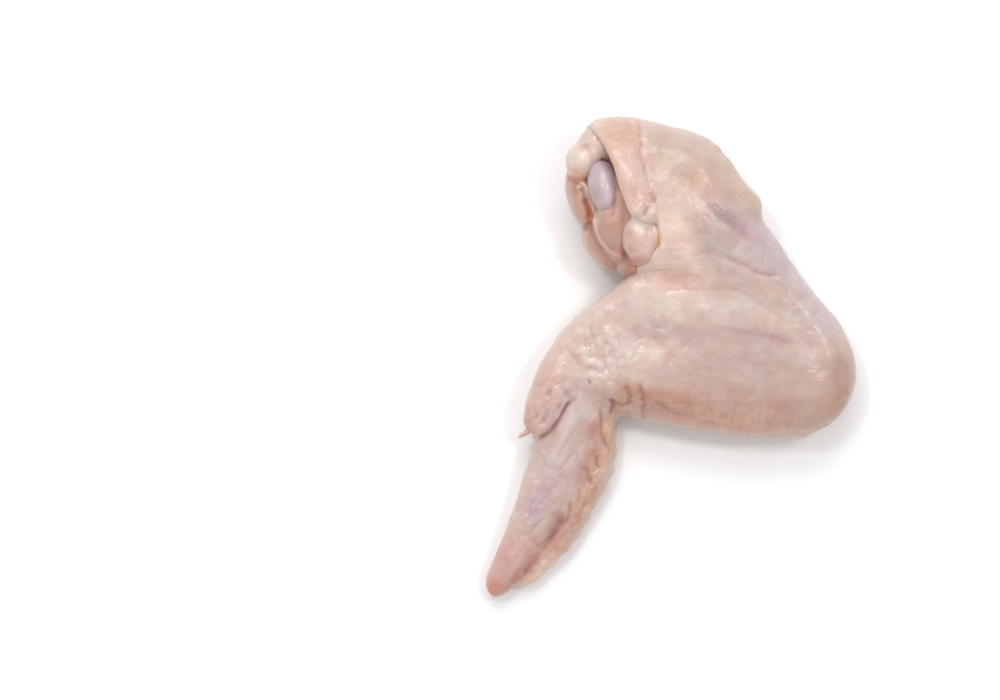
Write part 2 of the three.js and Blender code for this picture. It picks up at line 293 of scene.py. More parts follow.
def in_opening(points):
    """Points from the cut's own frame, whose x axis points along the upper arm, to the drawing's."""
    return turned(turned(points, OPENING["tilt"], "y"), OPENING["turn"], "z") + OPENING["at"]


def folded_band(rows=110, around=40):
    """The skin folded back at the cut: a flat oval section carried round part of the opening, tapering to
    nothing at both ends."""
    v = np.linspace(0, 1, rows)[:, None]
    section = np.linspace(0, 2 * np.pi, around, endpoint=False)[None]
    angle = np.radians(FOLD["from"] + (FOLD["to"] - FOLD["from"]) * v)
    taper = np.sqrt(np.maximum(0, 1 - np.abs(2 * v - 1) ** FOLD["bluntness"]))
    width = taper * (FOLD["wide"] + FOLD["spread"] * np.cos(angle))
    lift = taper * FOLD["thick"] * np.cos(section)
    y = (OPENING["reach"][0] + lift) * np.cos(angle)
    z = (OPENING["reach"][1] + lift) * np.sin(angle)
    x = FOLD["overlap"] - width * (1 + np.sin(section))
    points, triangles = closed_rings(np.stack([x, y, z], axis=-1))
    return in_opening(points), triangles


def prism(outline, low, high):
    """A convex outline, given anticlockwise in the plan, carried up from one height to another."""
    plan_points = np.asarray(outline, float)
    count = len(plan_points)
    points = np.vstack([np.column_stack([plan_points, np.full(count, height)]) for height in (low, high)])
    here = np.arange(count)
    beside = np.roll(here, -1)
    lower = np.stack([here, beside, beside + count], axis=1)
    upper = np.stack([here, beside + count, here + count], axis=1)
    fan = np.stack([np.zeros(count - 2, int), here[1:-1], here[2:]], axis=1)
    return points, np.vstack([lower, upper, fan[:, ::-1], fan + count])


def cut_away():
    """Everything on the shoulder's side of the opening, as far over as the web."""
    web, corner = OPENING["web"], OPENING["corner"]
    far, aside, high = CUTTER["far"], CUTTER["aside"], CUTTER["high"]
    outline = [(0, corner - web), (0, aside), (-far, aside), (-far, -web), (-corner, -web)]
    points, faces = prism(outline, -high, high)
    return in_opening(points), faces


# Meshes


def together(surfaces):
    """Several surfaces as one list of points and one of triangles."""
    starts = np.cumsum([0] + [len(points) for points, _ in surfaces[:-1]])
    points = np.vstack([points for points, _ in surfaces])
    return points, np.vstack([faces + start for (_, faces), start in zip(surfaces, starts)])


def piece_of(name, points, faces):
    mesh = bpy.data.meshes.new(name)
    mesh.from_pydata(points.tolist(), [], faces.tolist())
    piece = bpy.data.objects.new(name, mesh)
    bpy.context.scene.collection.objects.link(piece)
    return piece


def surface_of(piece):
    """A piece's finished points and triangles, and the piece removed."""
    bpy.context.view_layer.update()
    evaluated = piece.evaluated_get(bpy.context.evaluated_depsgraph_get())
    mesh = evaluated.to_mesh()
    mesh.calc_loop_triangles()
    points = np.empty(3 * len(mesh.vertices), np.float32)
    mesh.vertices.foreach_get("co", points)
    triangles = np.empty(3 * len(mesh.loop_triangles), np.int32)
    mesh.loop_triangles.foreach_get("vertices", triangles)
    evaluated.to_mesh_clear()
    mesh = piece.data
    bpy.data.objects.remove(piece)
    bpy.data.meshes.remove(mesh)
    return points.reshape(-1, 3).astype(float), triangles.reshape(-1, 3)


def united(surfaces, voxel):
    """Overlapping closed surfaces as one surface of even facets."""
    piece = piece_of("united", *together(surfaces))
    remesh = piece.modifiers.new("even", "REMESH")
    remesh.mode = "VOXEL"
    remesh.voxel_size = voxel
    return surface_of(piece)


def cut(surface, tool):
    """The part of a closed surface that lies outside a closed tool."""
    piece = piece_of("cut", *surface)
    cutter = piece_of("cutter", *tool)
    boolean = piece.modifiers.new("cut", "BOOLEAN")
    boolean.operation = "DIFFERENCE"
    boolean.solver = "MANIFOLD"
    boolean.object = cutter
    left = surface_of(piece)
    bpy.data.objects.remove(cutter)
    return left


def edges_of(triangles):
    return np.vstack([triangles[:, [0, 1]], triangles[:, [1, 2]], triangles[:, [2, 0]]])


def neighbours_mean(values, edges):
    """The mean of each point's neighbours. On a closed surface each edge is met once from either end."""
    here, beside = edges.T
    count = np.bincount(here, minlength=len(values))
    sums = [np.bincount(here, column[beside], len(values)) for column in values.T]
    return np.stack(sums, axis=1) / count[:, None]


def relaxed(points, triangles, rounds, share=0.6, back=0.0):
    """Points moved by a share of the way to their neighbours' mean, then away from it by back, for a number
    of rounds. share and back may differ from point to point."""
    edges = edges_of(triangles)
    share, back = (np.broadcast_to(s, len(points))[:, None] for s in (share, back))
    for _ in range(rounds):
        points = points + share * (neighbours_mean(points, edges) - points)
        if np.any(back):
            points = points - back * (neighbours_mean(points, edges) - points)
    return points


def normals_of(points, triangles):
    """Unit normals at the points: the sum of the area vectors of the triangles round each."""
    a, b, c = (points[triangles[:, i]] for i in range(3))
    areas = np.cross(b - a, c - a)
    corners = triangles.T.ravel()
    sums = [np.bincount(corners, np.tile(areas[:, axis], 3), len(points)) for axis in range(3)]
    normals = np.stack(sums, axis=1)
    return normals / np.maximum(np.linalg.norm(normals, axis=1, keepdims=True), 1e-12)


# Fields over a surface

LATTICE = 32  # random values along each side of a block of noise, which then repeats
JITTER = 0.38  # how far a lattice point strays, in spacings
FADE = 0.16  # share of a fold's length over which it dies away at either end
PIMPLE_SHARPNESS = 14
CUSHION_SHARPNESS = 2.4
WRINKLE_WIDTH = 0.16  # how near to zero the noise is inside a crease


def smooth_step(value, low, high):
    """0 below low, 1 above high, and a smooth rise between."""
    t = np.clip((value - low) / (high - low), 0, 1)
    return t * t * (3 - 2 * t)


def noise(points, size, seed):
    """Smooth noise from -1 to 1: random values at the corners of cubes of a size, blended inside each."""
    values = np.random.default_rng(seed).uniform(-1, 1, (LATTICE, LATTICE, LATTICE))
    scaled = points / size
    corner = np.floor(scaled).astype(int)
    part = scaled - corner
    part = part * part * (3 - 2 * part)
    total = np.zeros(len(points))
    for step in np.ndindex(2, 2, 2):
        weight = np.prod(np.where(step, part, 1 - part), axis=1)
        total += weight * values[tuple(((corner + step) % LATTICE).T)]
    return total


def lattice_distances(points, spacing, seed):
    """Distances, in spacings, to the nearest and the second nearest of a lattice of points that are each
    moved at random."""
    moves = np.random.default_rng(seed).uniform(-JITTER, JITTER, (LATTICE, LATTICE, LATTICE, 3))
    scaled = points / spacing
    cell = np.floor(scaled).astype(int)
    nearest = np.full(len(points), np.inf)
    second = np.full(len(points), np.inf)
    for step in np.ndindex(3, 3, 3):
        other = cell + np.array(step) - 1
        centre = other + 0.5 + moves[tuple((other % LATTICE).T)]
        distance = np.linalg.norm(scaled - centre, axis=1)
        second = np.minimum(second, np.maximum(nearest, distance))
        nearest = np.minimum(nearest, distance)
    return nearest, second


def pimples(points, spacing, seed):
    """Round bumps, 1 at their tops, round the points of a jittered lattice."""
    return np.exp(-PIMPLE_SHARPNESS * lattice_distances(points, spacing, seed)[0] ** 2)


def cobbles(points, spacing, seed):
    """Cushions, 1 at their tops, that fall to 0 in the creases between them, where two points of a jittered
    lattice are as near as each other."""
    strays = [noise(points, 0.9 * spacing, seed + k) for k in (50, 51, 52)]
    strayed = points + 0.4 * spacing * np.stack(strays, axis=1)
    nearest, second = lattice_distances(strayed, spacing, seed)
    return 1 - np.exp(-CUSHION_SHARPNESS * (second - nearest))


def wrinkles(points, direction, length, spacing, seed):
    """Creases, -1 at their bottoms, that run in a direction: noise stretched along it, sunk sharply where it
    passes through zero."""
    turned_points = turned(points, -direction, "z") / (length, spacing, length)
    return -np.exp(-np.abs(noise(turned_points, 1, seed)) / WRINKLE_WIDTH)


def wavered(points, reach, size, seed):
    """Places in the plan, moved by noise of a reach and size, so that what is laid out there isn't true."""
    return points[:, :2] + reach * np.stack([noise(points, size, seed + k) for k in (0, 1)], axis=1)


def plan(pixels):
    """Places in the drawing's plan, in millimetres, of pixels of the photograph."""
    return (np.asarray(pixels, float) - PHOTO_ORIGIN) * (PIXEL, -PIXEL)


def from_path(places, path):
    """Each place's distance from a smooth path, positive to the left of someone walking along it, and its
    share of the path's length."""
    line = spline(plan(path), np.linspace(0, 1, 6 * (len(path) - 1) + 1))
    steps = np.diff(line, axis=0)
    reached = np.concatenate([[0], np.cumsum(np.linalg.norm(steps, axis=1))])
    nearest = np.full(len(places), np.inf)
    side = np.zeros(len(places))
    share = np.zeros(len(places))
    for start, step, before in zip(line, steps, reached):
        offset = places - start
        t = np.clip(offset @ step / (step @ step), 0, 1)
        gap = np.linalg.norm(offset - t[:, None] * step, axis=1)
        closer = gap < nearest
        nearest[closer] = gap[closer]
        side[closer] = np.sign(step[0] * offset[:, 1] - step[1] * offset[:, 0])[closer]
        share[closer] = ((before + t * np.linalg.norm(step)) / reached[-1])[closer]
    return nearest * side, share


def stroke(places, path, width, height, step=0.0, reach=4.0, crisp=False):
    """Relief along a path: a ridge of a half width and height, or a groove where the height is negative, with
    a rounded or a crisp top, and a step up to the left, or to the right where it is negative, that fades
    over its reach."""
    margin = 5 * (width + (reach if step else 0))
    low, high = plan(path).min(axis=0) - margin, plan(path).max(axis=0) + margin
    close = np.all((places > low) & (places < high), axis=1)
    distance, share = from_path(places[close], path)
    ends = smooth_step(share, 0, FADE) * smooth_step(1 - share, 0, FADE)
    spread = np.abs(distance) / width
    ridge = height * np.exp(-spread if crisp else -(spread**2))
    side = distance * np.sign(step)
    raised = abs(step) * 0.5 * (1 + np.tanh(side / (0.5 * width))) * np.exp(-np.maximum(side, 0) / reach)
    relief = np.zeros(len(places))
    relief[close] = ends * (ridge + raised)
    return relief


def blob(places, centre, radii, turn=0.0):
    """A soft oval in the plan, 1 at its middle: radii in pixels, turned anticlockwise by degrees."""
    offset = places - plan(centre)
    angle = np.radians(turn)
    along = offset @ (np.cos(angle), np.sin(angle)) / (radii[0] * PIXEL)
    across = offset @ (-np.sin(angle), np.cos(angle)) / (radii[1] * PIXEL)
    return np.exp(-(along**2 + across**2))


# Soft folds of the skin: path in pixels, half width and height in millimetres, and where one side lies
# higher the step, and its reach where that isn't 4
FOLDS = [
    ([(634, 116), (640, 142), (640.5, 156), (643, 167), (646, 183), (652, 201), (657, 216)],
     0.7, -0.22, 0.12, 5),
    ([(622, 122), (627, 140), (626, 160), (631, 182), (637, 204)], 1.3, -0.08),
    ([(612, 132), (618, 150), (622, 172), (627, 196)], 1.5, 0.1),
    ([(644, 290), (663, 291), (690, 289.5), (716, 289.5), (741, 293.6), (766, 309), (792, 327)],
     0.7, -0.12),
    ([(704, 201), (713, 210), (726, 223), (738, 232), (750, 236)], 1.8, -0.4, 0.2, 6),
    ([(704, 212), (714, 220), (727, 232), (739, 239), (752, 250)], 1.2, 0.2),
    ([(745, 236), (762, 256), (784, 284), (806, 312), (828, 340)], 1.4, 0.19),
    ([(722, 254), (729, 260), (746, 267), (759, 274), (778, 277)], 0.9, -0.37, 0.3),
    ([(610, 338), (640, 333), (680, 331), (740, 334), (800, 344)], 3.0, -0.31),
    ([(700, 324), (709, 325.8), (740, 331), (782, 339.5), (806, 346)], 0.8, -0.22, 0.19),
    ([(646, 396), (659, 404), (669, 410), (690, 416), (700, 420), (713, 421), (722, 426)],
     0.8, -0.43, 0.52),
    ([(574, 397), (569, 403), (562, 413), (556, 424), (549, 432), (536, 440)], 0.6, -0.6, -0.68),
    ([(601, 408), (604, 430), (607, 448), (598, 462), (591, 476)], 0.8, -0.18, 0.2),
    ([(590, 470), (585, 486), (578, 500), (570, 512), (566, 524), (556, 536)], 1.0, -0.18, 0.2),
    ([(560, 508), (562, 523), (555, 535.6), (545.6, 543.6), (536, 555), (524, 572)], 0.9, -0.2, 0.4),
    ([(574, 402), (566, 420), (562, 438), (555, 456), (552, 470)], 2.4, 0.31),
    ([(560, 516), (553, 530), (540, 545), (530, 556)], 2.2, -0.12),
    ([(532, 500), (526, 520), (514, 545), (504, 566)], 1.8, 0.19),
]
# Creases: path in pixels, half width and depth in millimetres
CREASES = [
    ([(660, 291.5), (681, 290), (699, 290), (716, 289.5), (730, 290), (743, 294)], 0.35, 0.24),
    ([(676, 277.5), (688, 277), (700, 278.5)], 0.35, 0.3),
    ([(672, 284), (684, 284.5), (694, 283)], 0.35, 0.22),
    ([(694, 235), (701, 234.5), (707, 236.5)], 0.35, 0.26),
    ([(695, 256), (701, 254.5), (707, 256)], 0.35, 0.26),
    ([(714, 240), (719, 242.5), (725, 248)], 0.4, 0.26),
    ([(724, 255), (733, 260), (743, 264)], 0.4, 0.38),
    ([(748, 267), (760, 274), (771, 275.6), (792, 277.5)], 0.4, 0.36),
    ([(774, 283), (781, 287.5), (788, 294)], 0.4, 0.3),
    ([(709, 204), (716, 212), (724, 221), (733, 229)], 0.4, 0.4),
    ([(586, 375), (589, 381), (593, 386), (600, 389)], 0.4, 0.45),
    ([(608, 398), (618, 403), (626, 403.5), (634, 398)], 0.6, 0.8),
    ([(622, 386), (628, 392), (632, 399)], 0.6, 0.5),
    ([(608, 398), (611.5, 403), (611.5, 408), (611, 415)], 0.45, 0.7),
    ([(638, 384), (641, 393), (644, 402)], 0.5, 0.52),
    ([(643.4, 400), (643.4, 409), (644, 418)], 0.45, 0.38),
    ([(626, 390), (628, 398), (627, 408)], 0.45, 0.38),
    ([(722, 420), (727, 425), (732, 426.5)], 0.4, 0.3),
    ([(735, 429.5), (745, 428), (750, 425), (752.5, 417)], 0.4, 0.3),
    ([(758, 428), (768, 427.5), (778, 424)], 0.4, 0.22),
    ([(542.8, 404.8), (544.6, 414.4), (541.6, 422.8), (537, 424.5)], 0.4, 0.7),
    ([(548.8, 408), (546, 418), (542.8, 426)], 0.4, 0.6),
    ([(559.6, 403), (559, 409), (558, 415)], 0.4, 0.5),
    ([(534, 403), (535, 413), (536, 420)], 0.4, 0.5),
    ([(532, 386), (541, 385), (547.6, 387), (546.4, 398)], 0.5, 0.5),
    ([(564, 390), (568, 394), (571.6, 398), (579, 399)], 0.5, 0.6),
    ([(527, 404), (528, 416), (526, 428)], 0.45, 0.45),
    ([(570, 500), (571.8, 511), (566.7, 523)], 0.4, 0.6),
    ([(560, 509), (562.5, 523), (555, 535.6), (545.6, 543.6), (537, 553)], 0.5, 0.28),
    ([(556, 533), (546, 545.6), (539, 552.4), (531, 561), (525, 571), (521.7, 582)], 0.4, 0.7),
    ([(599.8, 404), (602.8, 421), (604, 432)], 0.4, 0.5),
    ([(543, 462), (549, 468), (560, 470)], 0.4, 0.19),
    ([(576, 440), (586, 446), (594, 458)], 0.4, 0.22),
    ([(644, 183), (654, 185), (665, 188.5)], 0.4, 0.26),
    ([(612, 141), (622, 143), (637, 142)], 0.4, 0.19),
    ([(648, 194), (652, 200), (653, 205)], 0.5, 0.4),
    ([(647, 208), (644.5, 214), (641, 219)], 0.6, 0.6),
    ([(560, 382), (552, 388), (548, 398)], 0.5, 0.5),
    ([(565, 376), (562, 384), (564, 392)], 0.45, 0.45),
    ([(589, 320), (591, 333), (595, 343), (598, 353), (604, 361)], 0.6, 0.45),
    ([(605, 360), (606, 370), (604, 382)], 0.6, 0.38),
    ([(571, 352), (577, 362), (586, 366), (596, 366)], 0.5, 0.38),
    ([(604, 436), (608.8, 450), (606.4, 458)], 0.4, 0.45),
    ([(595.6, 454), (597.3, 464), (599, 472)], 0.4, 0.45),
    ([(580.3, 465), (587, 472.5), (589.7, 480), (591.4, 487)], 0.4, 0.5),
    ([(577.8, 487), (580.3, 498), (575.2, 504)], 0.4, 0.45),
    ([(609, 434), (612, 446), (610, 460), (604, 474)], 0.5, 0.34),
    ([(598, 482), (592, 496), (583, 512), (577, 526)], 0.5, 0.5),
    ([(588, 500), (578, 516), (570, 532)], 0.5, 0.45),
    ([(563, 511), (565, 519), (563, 527)], 0.5, 0.25),
    ([(548, 556), (541, 561), (533, 570)], 0.45, 0.4),
    ([(556, 548), (553, 556), (546, 564)], 0.45, 0.4),
    ([(536, 548), (527, 560), (517, 572), (509, 583)], 0.7, 0.4),
]
# Lumps of the skin: middle, radii and turn in pixels and degrees, height in millimetres
LUMPS = [
    ((828, 352), (9, 11), 0, 0.8),
    ((752, 203), (13, 12), -50, 0.5),
    ((700, 308), (50, 12), -4, 0.2),
    ((612, 391), (5, 8), 10, 0.8),
    ((621, 407), (7, 6), 0, 0.7),
    ((634, 404), (6, 7), 0, 0.6),
    ((652, 404), (6, 7), 0, 0.4),
    ((630, 181), (6, 10), 0, 0.4),
    ((634, 214), (5, 5), 0, 0.5),
    ((649, 216), (4, 6), 0, 0.5),
    ((703, 310), (5, 7), 30, 0.4),
    ((656, 319), (5, 6), 30, 0.45),
    ((645, 327), (5, 4), 0, 0.4),
    ((661, 333), (6, 4), 0, 0.4),
    ((608, 334), (6, 8), 30, 0.5),
    ((585, 353), (6, 7), 40, 0.5),
    ((590, 364), (9, 4), 0, 0.45),
    ((628, 358), (4, 7), 0, 0.4),
    ((717, 148), (6, 3), -20, 1.2),
    ((616, 349), (9, 8), 0, 0.4),
    ((606, 450), (4, 9), -10, 0.5),
    ((601, 476), (4, 9), -15, 0.5),
    ((589, 490), (4, 8), -25, 0.4),
    ((586, 511), (4, 8), -25, 0.5),
    ((568, 540), (5, 8), -35, 0.4),
    ((553, 461), (7, 12), -25, 0.35),
]
# Feather follicles that catch the light on the wing's tip: middles in pixels
FOLLICLE_DOTS = [
    (543, 452), (541, 463), (533, 476), (535, 483), (548, 485), (534, 497), (526, 517),
    (530, 523), (521, 527), (509, 554), (515, 540), (556, 498), (540, 508),
]
FOLLICLE_DOT = {"height": 0.4, "radii": (2.2, 2.2)}  # in millimetres, and in pixels
# Wrinkled skin: an oval in pixels, the creases' direction, length, spacing and depth, and a seed
WRINKLED = [
    ((684, 268), (36, 24), -8, 1, 9, 1.5, 0.17, 4),
    ((668, 238), (10, 32), 8, 8, 5, 1.3, 0.12, 24),
    ((735, 256), (28, 22), -30, -30, 9, 1.7, 0.2, 5),
    ((547, 404), (18, 30), -24, 66, 5, 2.1, 0.4, 14),
    ((548, 396), (18, 26), -24, 10, 4, 2.4, 0.2, 34),
    ((700, 410), (100, 16), -8, 82, 6, 1.9, 0.36, 9),
    ((622, 150), (16, 34), 0, 3, 7, 1.9, 0.2, 15),
    ((635, 205), (14, 26), -10, 70, 6, 1.7, 0.2, 25),
    ((596, 466), (14, 50), -17, 72, 9, 2.0, 0.34, 16),
    ((538, 530), (22, 50), -30, 57, 9, 2.4, 0.42, 26),
    ((568, 452), (24, 36), -22, 62, 6, 2.8, 0.4, 36),
    ((775, 262), (56, 24), -52, -48, 12, 3.0, 0.3, 17),
    ((750, 375), (90, 26), 0, 88, 10, 2.6, 0.08, 27),
    ((700, 160), (60, 36), -25, -38, 12, 3.4, 0.1, 28),
]
# Unevenness everywhere: size and height in millimetres, and a seed
UNEVEN = [(8, 0.34, 1), (3.6, 0.2, 2), (1.7, 0.075, 7)]
GOOSEFLESH = {"height": 0.12, "spacing": 3.4, "patches": 6}  # in millimetres
# Cobbled skin: an oval in pixels, the cushions' spacing and height in millimetres, and a seed
COBBLED = [
    ((700, 285), (26, 5), 0, 2.2, 0.3, 40),
    ((600, 358), (34, 32), 0, 3.2, 0.6, 6),
    ((652, 324), (56, 17), 6, 3.2, 0.22, 17),
    ((660, 404), (56, 10), -10, 3.4, 0.5, 18),
    ((602, 452), (10, 42), -15, 3.0, 0.42, 19),
    ((538, 564), (24, 14), 38, 2.8, 0.5, 21),
    ((580, 512), (9, 38), -27, 2.8, 0.45, 22),
]
# Where the skin hangs slack between the limbs and hides the valleys: ovals in pixels
SLACK = [
    ((735, 290), (85, 45), -35),
    ((610, 350), (35, 30), 0),
    ((746, 228), (20, 14), -30),
    ((702, 206), (16, 14), 0),
    ((690, 328), (90, 22), -4),
    ((590, 468), (14, 48), -20),
    ((562, 522), (12, 34), -30),
]
# Where the band at the cut runs smoothly into the skin behind it: ovals in pixels
BLENDED = [
    ((640, 140), (8, 26), 4),
    ((648, 184), (9, 26), 14),
]
# Where a limb is flatter than its stations: an oval in pixels, and how far it is pushed in the plan
FLATTENED = [((755, 183), (23, 26), -54, (-1.8, -1.2))]


def skin_relief(points, normals):
    """How far the skin stands out, in millimetres: named folds, creases and lumps on its upper side, fields
    of wrinkles and cushions there, and unevenness and gooseflesh all over."""
    places = wavered(points, reach=0.3, size=3, seed=11)
    upper = smooth_step(normals[:, 2], -0.1, 0.4)
    shown = np.zeros(len(points))
    for path, *profile in FOLDS:
        shown += stroke(places, path, *profile)
    depth_left = 0.55 + 0.6 * noise(points, 2.6, seed=13)
    for path, width, depth in CREASES:
        shown -= depth_left * stroke(places, path, width, depth, crisp=True)
    for *oval, height in LUMPS:
        shown += height * blob(places, *oval)
    for centre in FOLLICLE_DOTS:
        shown += FOLLICLE_DOT["height"] * blob(places, centre, FOLLICLE_DOT["radii"])
    for *oval, direction, length, spacing, depth, seed in WRINKLED:
        shown += depth * blob(places, *oval) * wrinkles(points, direction, length, spacing, seed)
    for *oval, spacing, height, seed in COBBLED:
        shown += height * blob(places, *oval) * cobbles(points, spacing, seed)
    uneven = sum(height * noise(points, size, seed) for size, height, seed in UNEVEN)
    patches = np.maximum(noise(points, GOOSEFLESH["patches"], seed=8) + 0.4, 0)
    gooseflesh = GOOSEFLESH["height"] * patches * pimples(points, GOOSEFLESH["spacing"], seed=3)
    return upper * shown + uneven + gooseflesh


def pressed(points):
    """Points pushed in the plan by soft ovals, so that skin and muscles keep the same dents."""
    moved = np.array(points, float)
    for *oval, push in FLATTENED:
        moved[:, :2] += blob(points[:, :2], *oval)[:, None] * push
    return moved


def relaxed_in(ovals, points, triangles, rounds):
    """Points relaxed inside soft ovals of the plan, and left alone elsewhere."""
    inside = sum(blob(points[:, :2], *oval) for oval in ovals)
    return relaxed(points, triangles, rounds, share=0.6 * np.clip(inside, 0, 1) ** 2)


def skin_surface():
    """The limbs in one soft skin, cut open at the shoulder, with a band of it folded back over the cut."""
    shapes = (UPPER_ARM, OUTER_MUSCLE, WEB, FOREARM, FINGER, FINGER_EDGE, THUMB)
    limbs = [limb_surface(shape) for shape in shapes]
    follicles = [bump for row in FOLLICLE_ROWS for bump in follicle_lobes(row)]
    points, triangles = united(limbs + follicles, ROUGH_VOXEL)
    points = relaxed(points, triangles, rounds=14, back=0.58)
    points = relaxed_in(SLACK, points, triangles, rounds=60)
    opened = cut((pressed(points), triangles), cut_away())
    points, triangles = united([opened, folded_band()], SKIN_VOXEL)
    points = relaxed(points, triangles, rounds=5, back=0.4)
    points = relaxed_in(BLENDED, points, triangles, rounds=40)
    normals = normals_of(points, triangles)
    points = points + normals * skin_relief(points, normals)[:, None]
    return relaxed(points, triangles, rounds=1, share=0.25), triangles


# Creases and ridges where the ends of the muscles show
MEAT_FOLDS = [
    ([(582, 178), (587.5, 191.6), (593, 216), (601, 243), (611, 253), (624, 262)], 0.55, 0.55),
    ([(580, 186), (584, 200), (589, 222), (597, 246), (608, 258)], 0.8, -0.9),
    ([(585, 198), (588, 210), (591, 223)], 1.0, -1.4),
    ([(583, 230), (590, 225), (595, 223)], 0.7, -0.7),
    ([(566, 178), (574, 182), (580, 187), (585, 194)], 0.8, -0.5),
    ([(592, 146), (597, 152), (601, 160)], 0.8, -0.25),
    ([(598, 160), (607, 166), (614, 178), (617, 195)], 0.8, -0.6),
    ([(600, 126), (594, 140), (582, 146), (570, 152)], 0.6, 0.4),
    ([(622, 216), (623, 235), (625, 262)], 0.8, -0.5),
    ([(601, 178), (606, 192), (608, 204), (608, 222)], 1.9, -1.5),
]


def meat_surface(voxel, grow=0.0):
    """The muscles of the upper arm inside the skin, with their ends as lobes in the opening."""
    inside = [limb_surface(shape, grow - SKIN) for shape in (UPPER_ARM, OUTER_MUSCLE)]
    ends = [lobe(*end, grow - DRAWN_IN) for end in MUSCLE_ENDS]
    points, triangles = united(inside + ends, voxel)
    return pressed(relaxed(points, triangles, rounds=4, back=0.5)), triangles


def moulded(surface, folds, seed, fibres=0.1):
    """A surface with folds on its upper side, gentle unevenness, and fine fibres along the arm."""
    points, triangles = surface
    normals = normals_of(points, triangles)
    places = wavered(points, reach=0.25, size=3, seed=seed)
    relief = 0.22 * noise(points, 4, seed + 2) + fibres * noise(points * (1, 0.3, 0.6), 1.3, seed + 3)
    upper = smooth_step(normals[:, 2], -0.3, 0.2)
    for path, width, height in folds:
        relief += upper * stroke(places, path, width, height)
    return relaxed(points + normals * relief[:, None], triangles, rounds=1, share=0.3), triangles


def on_board(points):
    """Points with everything below the board pressed flat onto it."""
    return np.column_stack([points[:, :2], np.maximum(points[:, 2], 0)])


# Colours, as the eye sees them, from 0 to 255

EXPOSURE = 0.8  # the studio's light is this much too bright for the colours as they are written
OVAL_TOP = 1.35  # how far painted ovals rise over their full strength, which makes their middles even
CREASE_SHADE = (0.12, 0.24, 0.24)  # painted shade: share of red, green and blue that the deepest creases lose
CREASE_DEPTH = 0.25  # how deep they are, in millimetres
RIDGE_LIGHT = 0.35  # painted light: the highest ridges gain this much of what creases lose
FLESH_SHIFT = np.array([-0.02, -0.075, -0.06])  # change of red, green and blue towards flesh
FAT_SHIFT = np.array([0.02, 0.005, -0.04])  # and towards fat


def linear(colour):
    """A colour from 0 to 255 as the light it stands for."""
    share = np.asarray(colour, float) / 255
    return np.where(share <= 0.04045, share / 12.92, ((share + 0.055) / 1.055) ** 2.4)


def painted(places, base, patches, lines_and_shade=()):
    """A base colour with soft ovals of other colours laid over it in turn, then lines of colour; both carry
    the thing's own colours and also painted light and shade.
    """
    colour = np.tile(linear(base), (len(places), 1))
    for *oval, tint, strength in patches:
        share = strength * np.minimum(1, OVAL_TOP * blob(places, *oval))
        colour += share[:, None] * (linear(tint) - colour)
    for path, width, tint, strength in lines_and_shade:
        colour += stroke(places, path, width, strength)[:, None] * (linear(tint) - colour)
    return colour


def mottled(colour, points, seed):
    """A colour in soft blotches, pinker where flesh shows through the skin and yellower over fat."""
    flesh, fat = (noise(points, 5, seed + k) + 0.7 * noise(points, 2.2, seed + k + 1) for k in (0, 2))
    return colour * (1 + flesh[:, None] * FLESH_SHIFT + fat[:, None] * FAT_SHIFT)


def shaded(colour, surface):
    """A colour given painted shade, darker and redder, in creases and painted light, paler, on ridges, by how
    far each point lies below its softened surroundings."""
    points, triangles = surface
    soft = relaxed(points, triangles, rounds=8)
    hollow = ((soft - points) * normals_of(soft, triangles)).sum(axis=1)[:, None]
    return colour * (1 - np.clip(hollow / CREASE_DEPTH, -RIDGE_LIGHT, 1) * CREASE_SHADE)


